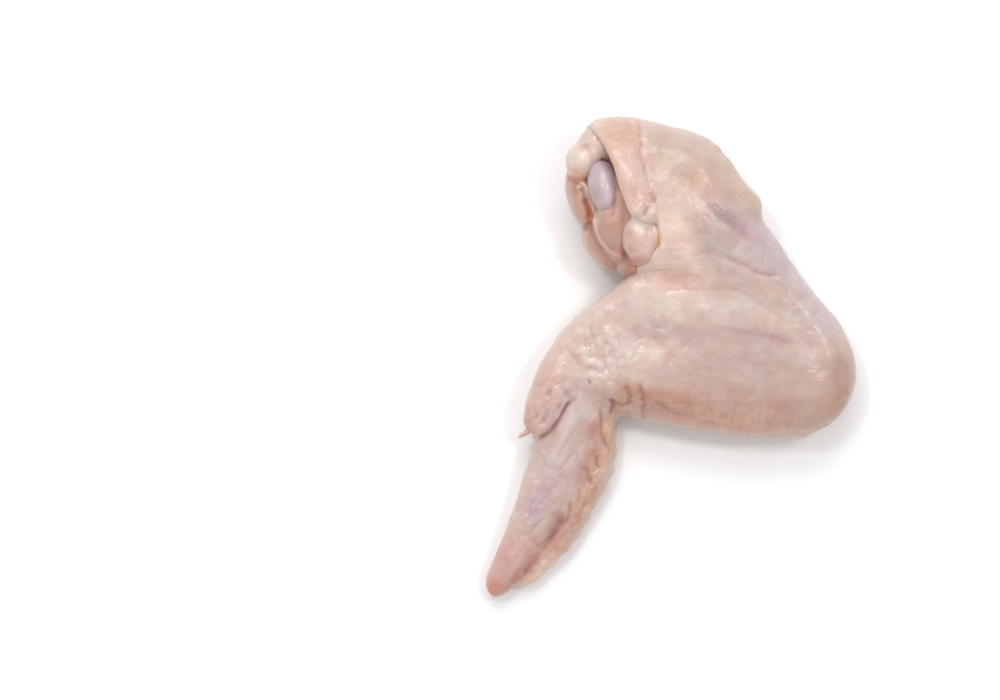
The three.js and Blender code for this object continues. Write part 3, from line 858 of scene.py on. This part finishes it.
PAINTED = {"reach": 0.9, "size": 4}  # how the edges of what is painted waver, in millimetres
SKIN_COLOUR = (224, 199, 188)
SKIN_PATCHES = [
    ((690, 150), (56, 34), -20, (205, 180, 168), 0.8),
    ((617, 138), (16, 26), 0, (218, 182, 162), 0.85),
    ((634, 182), (13, 34), 12, (228, 192, 180), 0.8),
    ((622, 196), (6, 18), 16, (229, 196, 180), 0.7),
    ((689, 178), (9, 12), 0, (208, 168, 142), 0.7),
    ((703, 192), (11, 11), 0, (210, 172, 159), 0.7),
    ((738, 188), (28, 22), -40, (208, 180, 160), 0.75),
    ((754, 207), (9, 17), 35, (204, 172, 142), 0.7),
    ((780, 262), (56, 26), -52, (198, 177, 182), 0.85),
    ((815, 305), (50, 22), -52, (209, 193, 197), 0.8),
    # the valley under the outer muscle: the skin's own lilac, darkened along it by painted shade, and paler
    # along the ridge below by painted light
    ((724, 220), (22, 9), -42, (170, 143, 150), 0.8),
    ((744, 228), (14, 9), -10, (206, 180, 186), 0.6),
    ((718, 232), (20, 6), -42, (218, 200, 197), 0.6),
    ((736, 243), (14, 9), -36, (198, 172, 170), 0.7),
    # painted light: the web lifted above the skin's own colour where its slope lies in shade
    ((676, 262), (36, 30), -10, (270, 240, 227), 0.85),
    ((713, 244), (17, 24), 40, (200, 177, 171), 0.8),
    ((698, 226), (10, 12), 0, (206, 176, 170), 0.6),
    ((668, 238), (12, 26), 0, (248, 220, 206), 0.8),
    ((657, 244), (3, 9), -10, (228, 190, 140), 0.8),
    ((680, 280), (18, 9), 0, (226, 178, 160), 0.6),
    ((776, 296), (11, 9), -30, (224, 196, 166), 0.7),
    ((700, 308), (75, 14), -4, (230, 212, 204), 0.8),
    ((715, 335), (95, 9), -3, (206, 178, 179), 0.65),
    # the flat darker down towards its trailing edge: painted shade, where the lower slope gets less light
    ((750, 374), (90, 28), 0, (200, 172, 164), 0.8),
    ((760, 412), (90, 22), 0, (204, 168, 152), 0.85),
    ((829, 352), (10, 11), 0, (214, 186, 168), 0.7),
    ((841, 380), (12, 30), 0, (188, 150, 138), 0.75),
    ((602, 350), (40, 34), 0, (236, 214, 205), 0.75),
    ((562, 378), (16, 24), -38, (226, 198, 190), 0.6),
    ((548, 408), (20, 28), 0, (222, 187, 177), 0.8),
    # brown above the trailing fold: the skin's own brown with painted shade under the fold
    ((664, 402), (48, 11), -12, (198, 152, 130), 0.85),
    ((630, 394), (20, 9), -12, (204, 162, 140), 0.75),
    ((722, 424), (64, 8), -6, (226, 178, 156), 0.75),
    ((790, 300), (16, 12), 0, (202, 178, 172), 0.6),
    ((833, 411), (17, 15), 0, (200, 156, 134), 0.7),
    ((557, 552), (10, 11), -30, (212, 160, 136), 0.6),
    ((622, 408), (10, 6), 0, (222, 180, 156), 0.6),
    ((568, 428), (22, 34), -20, (210, 186, 184), 0.8),
    ((565, 436), (7, 26), -25, (228, 210, 204), 0.7),
    ((556, 490), (24, 50), -28, (219, 190, 184), 0.8),
    ((531, 551), (8, 20), -38, (200, 148, 136), 0.55),
    ((540, 500), (10, 30), -28, (206, 178, 186), 0.8),
    ((553, 540), (9, 17), -34, (206, 152, 132), 0.85),
    ((557, 522), (7, 14), -25, (192, 148, 134), 0.7),
    ((553, 461), (8, 14), -25, (218, 206, 202), 0.7),
    ((585, 470), (8, 16), -20, (196, 152, 140), 0.6),
    ((600, 452), (11, 36), -15, (212, 170, 148), 0.85),
    ((594, 430), (8, 11), -10, (202, 152, 140), 0.6),
    ((592, 458), (5, 9), -20, (202, 148, 138), 0.6),
    ((612, 434), (6, 24), 0, (216, 184, 158), 0.7),
    ((580, 512), (9, 42), -27, (210, 166, 142), 0.85),
    ((542, 566), (24, 12), 43, (240, 206, 190), 0.85),
    ((530, 578), (10, 6), 40, (232, 194, 176), 0.8),
    ((502, 566), (12, 30), -28, (222, 174, 170), 0.75),
    ((491, 592), (8, 12), -34, (220, 144, 124), 0.85),
    # painted shade along the finger's lower side, where it lies over the flap
    ((518, 576), (6, 24), -42, (198, 140, 128), 0.8),
    ((558, 530), (4, 15), -32, (178, 128, 114), 0.5),
    ((525, 428), (8, 14), 0, (216, 160, 150), 0.6),
]
# Lines of colour on the skin: the redder, browner colour of its creases and pits together with painted shade
# in them and under its folds, and a few of the skin's own colour: path in pixels, half width in millimetres,
# colour, strength
SKIN_LINES_AND_SHADE = [
    ([(573, 399), (569, 403), (562, 413), (556, 424), (550, 431)], 0.45, (158, 86, 90), 0.75),
    ([(560, 419), (554, 428), (547, 434), (536, 441)], 0.9, (176, 120, 102), 0.6),
    ([(608, 398), (611.5, 403), (611.5, 408), (611, 416)], 0.4, (176, 78, 66), 0.75),
    ([(608, 398), (618, 403), (626, 403.5), (634, 398)], 0.7, (150, 98, 80), 0.6),
    ([(638, 380), (641, 392), (642.5, 404)], 0.6, (158, 104, 86), 0.55),
    ([(622, 386), (628, 392), (632, 399)], 0.8, (170, 126, 106), 0.5),
    ([(646, 193), (650, 199), (652, 206)], 0.6, (200, 128, 122), 0.45),
    ([(647, 208), (644.5, 214), (641, 220)], 0.6, (204, 140, 132), 0.6),
    ([(634, 118), (640, 142), (640.5, 156), (645, 176)], 0.6, (206, 158, 134), 0.5),
    ([(560, 508), (562, 523), (555, 535.6), (544, 545)], 1.4, (176, 118, 104), 0.35),
    ([(643, 400), (644, 412), (645, 420)], 0.5, (170, 100, 84), 0.5),
    ([(602, 128), (610, 155), (618, 185), (626, 214)], 0.6, (226, 180, 158), 0.6),
    ([(559, 526), (554, 534), (546, 545), (536, 556), (528, 565), (522, 578)], 0.6, (168, 110, 96), 0.6),
    ([(599.8, 404), (602.8, 421), (604, 434), (608, 448)], 0.45, (160, 100, 86), 0.5),
    ([(580.3, 465), (587, 472.5), (589.7, 480), (591.4, 487)], 0.45, (162, 110, 98), 0.45),
    ([(570, 499), (571.8, 511), (566.7, 523)], 0.5, (150, 98, 90), 0.5),
    ([(595.6, 454), (597.3, 464), (599, 472)], 0.45, (176, 118, 106), 0.45),
    ([(563, 511), (565, 519), (563, 527)], 0.6, (160, 104, 90), 0.3),
    ([(587, 378), (588.5, 380.5), (590, 383)], 0.4, (120, 90, 86), 0.6),
]
# Where the skin is wetter or drier, as ovals in pixels with a strength, and how wet it is elsewhere
MOIST = [
    ((604, 344), (34, 30), 0, 0.8),
    ((640, 322), (44, 14), 0, 0.6),
    ((654, 356), (22, 20), 0, -0.4),
    ((700, 286), (26, 5), 0, 0.5),
    ((650, 232), (10, 22), 0, 0.3),
    ((648, 198), (12, 20), 12, 0.8),
    ((586, 160), (20, 30), 0, 0.8),
    ((530, 515), (12, 60), -28, 0.8),
    ((704, 176), (44, 30), -25, -0.5),
    ((836, 364), (18, 44), 0, -0.4),
    ((684, 255), (34, 18), 0, -0.3),
]
DAMP = 0.35
MEAT_COLOUR = (204, 160, 143)
MEAT_PATCHES = [
    ((600, 135), (20, 18), 30, (228, 200, 190), 0.9),
    ((581, 159), (17, 17), 0, (230, 210, 200), 0.95),
    ((578, 177), (12, 7), -20, (246, 186, 156), 0.9),
    ((576, 205), (9, 28), 20, (208, 162, 147), 0.8),
    ((588, 213), (3, 10), 15, (222, 136, 94), 0.85),
    ((582, 204), (4, 9), 10, (214, 164, 146), 0.6),
    ((576, 190), (6, 6), 0, (178, 130, 116), 0.75),
    ((600, 250), (17, 22), 20, (210, 162, 142), 0.8),
    ((612, 232), (12, 26), 10, (206, 164, 149), 0.8),
    ((636, 272), (13, 8), 0, (208, 142, 122), 0.85),
    ((621, 257), (5, 8), 10, (222, 160, 136), 0.6),
    # painted light: paler where the folded band shades the meat
    ((597, 152), (9, 14), -20, (242, 214, 204), 0.8),
    ((609, 213), (9, 5), 0, (226, 190, 182), 0.7),
]
# Lines of colour on the meat: the pale edge of a membrane, the band's painted shadow beside the knob, painted
# shade in the groove under the white lobe, and brown along the fat's edge: path in pixels, half width in
# millimetres, colour, strength
MEAT_LINES_AND_SHADE = [
    ([(583, 180), (587.5, 191.6), (593, 216), (601, 243), (611, 253), (624, 262)], 0.5, (232, 204, 190), 0.7),
    ([(598, 160), (607, 166), (614, 178), (617, 196)], 0.8, (150, 116, 128), 0.6),
    ([(566, 177), (574, 183), (582, 189), (586, 199)], 0.7, (180, 124, 102), 0.5),
    ([(622, 240), (624, 256), (630, 268)], 0.9, (182, 124, 110), 0.6),
]
BONE_COLOUR = (214, 197, 202)
BONE_PATCHES = [
    ((606, 217), (14, 6), 0, (206, 168, 160), 0.9),
    ((592, 198), (5, 12), 10, (200, 168, 164), 0.6),
    # the knob's top darker: the bone's own tone with the painted shadow of the band's edge
    ((602, 168), (9, 7), 0, (202, 180, 190), 0.7),
    # painted highlight: a pale stripe down the knob's right side
    ((608, 195), (5, 13), 5, (236, 218, 222), 0.75),
]
BONE_FOLDS = [
    ([(590, 170), (593, 188), (599, 205)], 1.6, -0.3),
    ([(603, 162), (611, 175), (614, 190), (611, 205)], 1.5, 0.3),
]
FAT_COLOUR = (238, 208, 197)
FAT_PATCHES = [
    ((627, 240), (6, 20), 5, (220, 180, 165), 0.7),
    ((640, 262), (14, 9), 0, (230, 178, 156), 0.8),
    # painted light: the fat's top lifted above its own colour against the shade of the crease over it
    ((641, 220), (12, 11), 0, (260, 246, 242), 0.9),
    ((649, 254), (6, 8), 0, (250, 220, 210), 0.7),
    ((658, 246), (3.5, 9), -10, (226, 180, 132), 0.8),
]
CLAW_COLOUR = (222, 190, 178)
FAT_FOLDS = [
    ([(641, 214), (640.5, 222), (642, 230)], 1.2, -0.4),
    ([(622, 236), (631, 242), (634, 258)], 1.6, -0.6),
    ([(646, 212), (648, 226), (644, 244), (640, 256)], 1.4, -0.4),
]


# Materials


class Wire:
    """A shader value that sums can be written with."""

    def __init__(self, finish, socket):
        self.finish = finish
        self.socket = socket

    def math(self, operation, first, second):
        return self.finish.node("ShaderNodeMath", {"operation": operation}, {0: first, 1: second})

    def __add__(self, other):
        return self.math("ADD", self, other)

    def __sub__(self, other):
        return self.math("SUBTRACT", self, other)

    def __mul__(self, other):
        return self.math("MULTIPLY", self, other)


class Finish:
    """A material under construction round one shader."""

    def __init__(self, name, **constants):
        self.material = bpy.data.materials.new(name)
        self.material.use_nodes = True
        self.tree = self.material.node_tree
        self.shader = self.tree.nodes["Principled BSDF"]
        for socket, value in constants.items():
            self.shader.inputs[socket.replace("_", " ")].default_value = value

    def node(self, kind, settings=None, sockets=None, output=0):
        """Any node: its settings are set first, then the values or wires of its sockets."""
        made = self.tree.nodes.new(kind)
        for key, value in (settings or {}).items():
            setattr(made, key, value)
        for key, value in (sockets or {}).items():
            self.feed(made.inputs[key], value)
        return Wire(self, made.outputs[output])

    def feed(self, socket, value):
        if isinstance(value, Wire):
            self.tree.links.new(value.socket, socket)
        else:
            socket.default_value = value

    def place(self):
        return self.node("ShaderNodeTexCoord", output="Object")

    def grain(self, place, size, detail, stretch=(1, 1, 1)):
        """Noise from 0 to 1 whose features have a size in metres, stretched along the axes."""
        scaled = self.node("ShaderNodeMapping", sockets={"Vector": place, "Scale": stretch})
        sockets = {"Vector": scaled, "Scale": 1 / size, "Detail": detail, "Roughness": 0.55}
        return self.node("ShaderNodeTexNoise", sockets=sockets)

    def tinted(self, share, colour, tint):
        """A colour multiplied by a tint, as far as a share from 0 to 1 says."""
        settings = {"data_type": "RGBA", "blend_type": "MULTIPLY"}
        return self.node("ShaderNodeMix", settings, {0: share, 6: colour, 7: tint}, output=2)

    def attribute(self, name, output="Fac"):
        return self.node("ShaderNodeAttribute", {"attribute_name": name}, output=output)

    def bump(self, height, distance):
        return self.node("ShaderNodeBump", sockets={"Height": height, "Distance": distance})

    def wear(self, **wires):
        """The finished material, with wires or values in sockets of its shader."""
        for socket, value in wires.items():
            self.feed(self.shader.inputs[socket.replace("_", " ")], value)
        return self.material


def skin_finish():
    """Skin: the painted tint, mottled with pinker flesh and paler fat, and the moister the glossier."""
    finish = Finish(
        "skin_finish",
        Subsurface_Weight=0.25,
        Subsurface_Scale=0.0022,
        Subsurface_Radius=(1.0, 0.42, 0.3),
        Specular_IOR_Level=0.6,
    )
    place = finish.place()
    tint = finish.attribute("tint", "Color")
    mottle = finish.grain(place, 0.005, 3)
    fleck = finish.grain(place, 0.0016, 3)
    pinker = finish.tinted(mottle * 1.8 - 0.6, tint, (0.94, 0.84, 0.83, 1))
    colour = finish.tinted(fleck * 1.4 - 0.45, pinker, (1.04, 1.03, 1.02, 1))
    wet = finish.attribute("moist")
    height = finish.grain(place, 0.0016, 3) + finish.grain(place, 0.0007, 2) * 0.3
    return finish.wear(
        Base_Color=colour,
        Roughness=finish.grain(place, 0.0025, 2) * 0.24 + 0.2 - wet * 0.18,
        Normal=finish.bump(height * (wet * 0.35 + 0.35), 0.0004),
    )


def meat_finish():
    """Wet raw muscle under a thin clear skin: the painted tint with fine fibres along the arm."""
    finish = Finish(
        "meat_finish",
        Subsurface_Weight=0.3,
        Subsurface_Scale=0.003,
        Subsurface_Radius=(1.0, 0.35, 0.25),
        Coat_Roughness=0.1,
    )
    place = finish.place()
    tint = finish.attribute("tint", "Color")
    fibres = finish.grain(place, 0.0012, 3, (1, 0.25, 0.5))
    mottle = finish.grain(place, 0.004, 3)
    colour = finish.tinted(mottle * 1.4 - 0.4, tint, (0.94, 0.85, 0.82, 1))
    return finish.wear(
        Base_Color=finish.tinted(fibres * 1.2 - 0.3, colour, (1.06, 1.03, 1.0, 1)),
        Roughness=mottle * 0.2 + 0.24,
        Coat_Weight=mottle * 0.5 + 0.3,
        Normal=finish.bump(fibres, 0.0002),
    )


def wet_finish(name, size, roughness, coat):
    """A smooth wet surface: the painted tint under faint clouds of a size."""
    finish = Finish(
        name,
        Subsurface_Weight=0.4,
        Subsurface_Scale=0.003,
        Subsurface_Radius=(1.0, 0.6, 0.5),
        Coat_Roughness=0.16,
    )
    place = finish.place()
    tint = finish.attribute("tint", "Color")
    cloud = finish.grain(place, size, 3)
    return finish.wear(
        Base_Color=finish.tinted(cloud * 2.4 - 0.7, tint, (0.93, 0.86, 0.85, 1)),
        Roughness=cloud * 0.1 + roughness,
        Coat_Weight=cloud * 0.2 + coat,
        Normal=finish.bump(finish.grain(place, 0.0015, 2), 0.0002),
    )


# The pieces


def dressed(name, surface, node, material, tint, moist=None):
    """A finished piece in the solids' frame that stands for a node and rides with it."""
    points, triangles = surface
    piece = piece_of(name, (on_board(points) + SHIFT) * METRES, triangles)
    piece.data.polygons.foreach_set("use_smooth", np.ones(len(triangles), bool))
    attribute = piece.data.color_attributes.new("tint", "FLOAT_COLOR", "POINT")
    colour = np.column_stack([EXPOSURE * tint, np.ones(len(tint))])
    attribute.data.foreach_set("color", colour.astype(np.float32).ravel())
    if moist is not None:
        attribute = piece.data.attributes.new("moist", "FLOAT", "POINT")
        attribute.data.foreach_set("value", moist.astype(np.float32))
    piece.data.materials.append(material)
    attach(piece, "root")
    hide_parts(node)
    return piece


fat_low, fat_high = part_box("fat_lobe")
fat_centre = (np.array(fat_low) + np.array(fat_high)) / 2 / METRES
SHIFT = fat_centre - FAT_LOBE[0]

skin = cut(skin_surface(), meat_surface(ROUGH_VOXEL, GAP))
skin_plan = wavered(skin[0], **PAINTED, seed=20)
skin_colour = mottled(painted(skin_plan, SKIN_COLOUR, SKIN_PATCHES, SKIN_LINES_AND_SHADE), skin[0], seed=60)
moisture = np.clip(DAMP + sum(share * blob(skin_plan, *oval) for *oval, share in MOIST), 0, 1)
dressed("wing_skin", skin, "skin", skin_finish(), shaded(skin_colour, skin), moisture)

meat = moulded(meat_surface(MEAT_VOXEL), MEAT_FOLDS, seed=30)
meat_colour = painted(wavered(meat[0], **PAINTED, seed=22), MEAT_COLOUR, MEAT_PATCHES, MEAT_LINES_AND_SHADE)
meat_colour = mottled(meat_colour, meat[0], seed=70)
dressed("arm_meat", meat, "meat", meat_finish(), shaded(meat_colour, meat))

bone = united([limb_surface(SHAFT), lobe(*KNOB)], MEAT_VOXEL)
bone = moulded(bone, BONE_FOLDS, seed=50, fibres=0.04)
bone_colour = painted(bone[0][:, :2], BONE_COLOUR, BONE_PATCHES)
cartilage = wet_finish("cartilage_finish", size=0.012, roughness=0.3, coat=0.35)
dressed("arm_bone", bone, "humerus", cartilage, bone_colour)

fat = united([lobe(*FAT_LOBE, FAT_SWELL), *(lobe(*bulge) for bulge in FAT_BULGES)], FAT_VOXEL)
fat = moulded(fat, FAT_FOLDS, seed=40, fibres=0.05)
fat_colour = mottled(painted(wavered(fat[0], **PAINTED, seed=24), FAT_COLOUR, FAT_PATCHES), fat[0], seed=80)
fat_wet = wet_finish("fat_finish", size=0.005, roughness=0.34, coat=0.4)
dressed("pale_fat", fat, "fat_lobe", fat_wet, fat_colour)

nail = limb_surface(CLAW, rows=40, around=24)
nail_colour = painted(nail[0][:, :2], CLAW_COLOUR, [])
horn = wet_finish("claw_finish", size=0.002, roughness=0.35, coat=0.2)
dressed("thumb_claw", nail, "claw", horn, nail_colour)

# The floor, the light and the camera

FLOOR_REACH = 2000  # from its middle to an edge
FLOOR_THICK = 20
LIT = np.array([0, 0, 0.01])  # the point that the lamps face, in metres
LENS = 200
SENSOR = 36
TRUE_HEIGHT = 12  # where a pixel of the picture is as large as one of the photograph
SKY = 0.72  # strength of the light from all around


def floor():
    corners = [(-1, -1), (1, -1), (1, 1), (-1, 1)]
    points, faces = prism(FLOOR_REACH * np.array(corners), -FLOOR_THICK, 0)
    made = piece_of("floor", points * METRES, faces)
    finish = Finish("floor_finish", Roughness=0.6)
    made.data.materials.append(finish.wear(Base_Color=(0.94, 0.94, 0.94, 1)))


def aimed(kind_data, name, at, target):
    """An object for a lamp or camera at a point, pointing to a target with its top towards +Y."""
    made = bpy.data.objects.new(name, kind_data)
    bpy.context.scene.collection.objects.link(made)
    back = np.array(at, float) - target
    back /= np.linalg.norm(back)
    right = np.cross([0, 1, 0], back)
    right /= np.linalg.norm(right)
    up = np.cross(back, right)
    matrix = np.eye(4)
    matrix[:3, :3] = np.column_stack([right, up, back])
    matrix[:3, 3] = at
    made.matrix_world = Matrix(matrix.tolist())
    return made


def lamp(name, at, size, energy):
    data = bpy.data.lights.new(name, "AREA")
    data.shape = "RECTANGLE"
    data.size, data.size_y = size
    data.energy = energy
    return aimed(data, name, at, LIT)


def camera():
    """Straight above the middle of the photograph's frame, far enough for a long lens."""
    data = bpy.data.cameras.new("camera")
    data.lens = LENS
    data.sensor_width = SENSOR
    middle = np.append(plan(PHOTO_CENTRE), TRUE_HEIGHT) + SHIFT
    height = PHOTO_WIDTH * PIXEL * data.lens / data.sensor_width
    target = middle * METRES
    bpy.context.scene.camera = aimed(data, "camera", target + (0, 0, height * METRES), target)


floor()
lamp("window", (-0.1, 0.75, 0.8), (0.7, 0.4), 4.2)
lamp("left", (-0.28, 0.32, 0.85), (0.14, 0.14), 1.3)
lamp("right", (0.4, 0.2, 0.8), (0.14, 0.14), 1.3)
camera()

world = bpy.data.worlds.new("studio")
bpy.context.scene.world = world
world.use_nodes = True
sky = world.node_tree.nodes["Background"].inputs
sky["Color"].default_value = (1, 1, 1, 1)
sky["Strength"].default_value = SKY
bpy.context.scene.view_settings.view_transform = "Standard"
